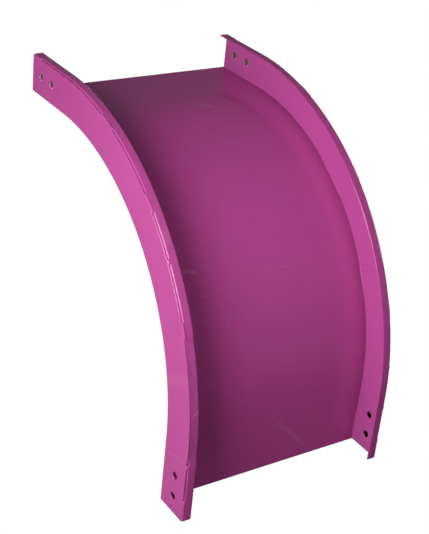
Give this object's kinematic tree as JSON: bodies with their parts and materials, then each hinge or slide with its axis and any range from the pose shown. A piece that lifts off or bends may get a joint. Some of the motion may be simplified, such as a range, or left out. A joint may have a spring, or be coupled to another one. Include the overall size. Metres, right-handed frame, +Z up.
{
  "type": "raceway vertical drop fitting",
  "caption": "Welded sheet-steel tray bend that carries cables over an edge and straight down, with side webs, inward lips and splice holes at both ends.",
  "frame": {"origin": "middle of the floor's upper surface at the upper end, where the level tray meets the fitting", "axes": "X across the tray with +X to its right as seen from outside the bend, +Y out of the upper end along the level tray, +Z up; the tray runs to -Y and drops to -Z"},
  "size_m": [0.3004, 0.4383, 0.4413],
  "materials": {
    "floor": "semi-gloss magenta powder coat on rolled steel sheet",
    "webs": "semi-gloss magenta powder coat on profile-cut steel sheet",
    "lips": "semi-gloss magenta powder coat on rolled steel strip",
    "welds": "magenta powder coat over dressed weld beads"
  },
  "bodies": {
    "root": {"floor_plate": "floor", "left_side_web": "webs", "right_side_web": "webs", "left_lip_strip": "lips", "right_lip_strip": "lips", "left_lip_welds": "welds", "right_lip_welds": "welds", "left_floor_welds": "welds", "right_floor_welds": "welds"}
  },
  "joints": []
}
